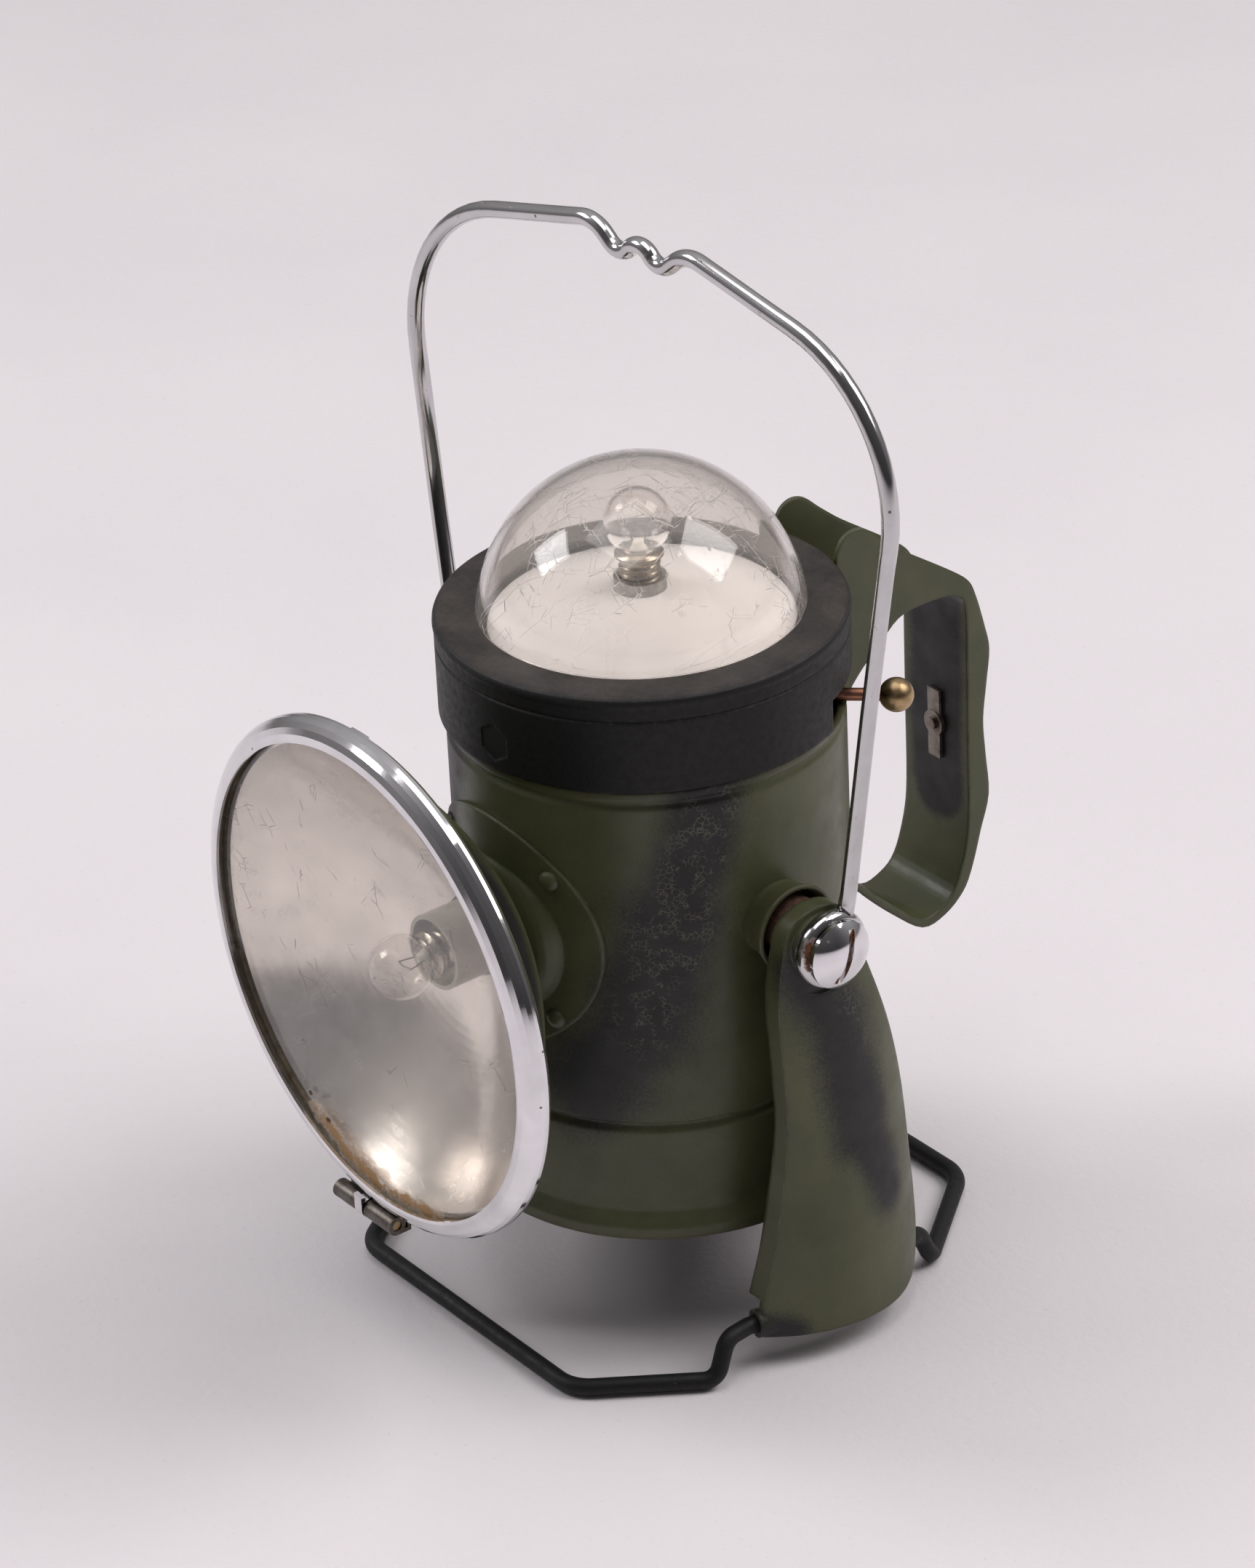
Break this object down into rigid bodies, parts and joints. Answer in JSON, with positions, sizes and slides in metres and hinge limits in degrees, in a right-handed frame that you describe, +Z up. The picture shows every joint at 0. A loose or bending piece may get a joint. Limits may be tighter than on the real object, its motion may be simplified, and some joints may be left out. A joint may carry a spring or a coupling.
{
  "type": "railway lantern",
  "caption": "Hand lantern with tilting cylindrical body, hinged round headlight, clear top dome, rear strap grip, wire foot and twin-notched swinging bail.",
  "frame": {"origin": "floor level under the wire foot, on the line of the body's axis side to side; the middle of the part's footprint", "axes": "+Z up, the headlight faces -Y, the tilt and bail axis runs along X, the switch lever is on the +X and +Y side"},
  "size_m": [0.1574, 0.1752, 0.2565],
  "materials": {
    "olive_paint": "worn satin olive enamel with soft black overspray",
    "black_paint": "matt black paint, dusty on top",
    "chrome_plate": "bright plating, lightly pitted",
    "plain_steel": "dull bare steel",
    "brass_metal": "tarnished brass",
    "copper_metal": "tarnished copper-coloured rod",
    "fibre": "brown pressed fibre",
    "white_enamel": "satin white enamel",
    "rubber_black": "matt black rubber",
    "clear_glass": "clear glass",
    "battery_case": "printed-free card and plastic case"
  },
  "bodies": {
    "stand": {"arm_right": "olive_paint", "arm_left": "olive_paint", "foot_wire": "black_paint", "pivot_screw_right": "chrome_plate", "pivot_screw_left": "chrome_plate", "pivot_washer_right": "fibre", "pivot_washer_left": "fibre", "pivot_nut_right": "plain_steel", "pivot_nut_left": "plain_steel"},
    "lamp": {"body_shell": "olive_paint", "base_plate": "black_paint", "pivot_cup_right": "olive_paint", "pivot_cup_left": "olive_paint", "chassis_plate": "fibre", "centre_post": "plain_steel", "dome_reflector": "white_enamel", "dome_socket": "plain_steel", "dome_bulb_base": "brass_metal", "dome_bulb": "clear_glass", "headlight_flange": "olive_paint", "flange_rivets": "olive_paint", "headlight_shell": "olive_paint", "reflector": "chrome_plate", "bulb_holder": "plain_steel", "headlight_bulb_base": "brass_metal", "headlight_bulb": "clear_glass", "lens_gasket": "rubber_black", "hinge_tube": "plain_steel", "hinge_pin": "brass_metal", "strap_handle": "olive_paint", "handle_rivets": "olive_paint", "handle_clip": "plain_steel", "battery_front": "battery_case", "battery_rear": "battery_case", "battery_tray": "plain_steel", "contact_strip": "brass_metal", "headlight_wire": "rubber_black", "dome_wire": "rubber_black"},
    "front_rim": {"bezel": "chrome_plate", "lens": "clear_glass", "bezel_knuckles": "chrome_plate", "bezel_catch": "chrome_plate"},
    "top": {"cap": "black_paint", "dome": "clear_glass", "dome_gasket": "rubber_black", "dome_retainer": "plain_steel"},
    "switch": {"switch_hub": "fibre", "switch_rod": "copper_metal", "switch_ball": "brass_metal"},
    "bail": {"bail": "chrome_plate"}
  },
  "joints": [
    {"name": "lamp_tilt", "type": "hinge", "parent": "stand", "child": "lamp", "pos_m": [0, 0, 0.1053], "axis": [1, 0, 0], "range_deg": [-60, 30]},
    {"name": "bail_swing", "type": "hinge", "parent": "stand", "child": "bail", "pos_m": [0, 0, 0.1053], "axis": [1, 0, 0], "range_deg": [-125, 125]},
    {"name": "rim_open", "type": "hinge", "parent": "lamp", "child": "front_rim", "pos_m": [-0.008, -0.0782, 0.0351], "axis": [1, 0, 0], "range_deg": [0, 95]},
    {"name": "cap_lift", "type": "slide", "parent": "lamp", "child": "top", "axis": [0, 0, 1], "range_m": [0, 0.04]},
    {"name": "switch_turn", "type": "hinge", "parent": "lamp", "child": "switch", "pos_m": [0, 0, 0.144], "axis": [0, 0, 1], "range_deg": [-18, 18]}
  ]
}
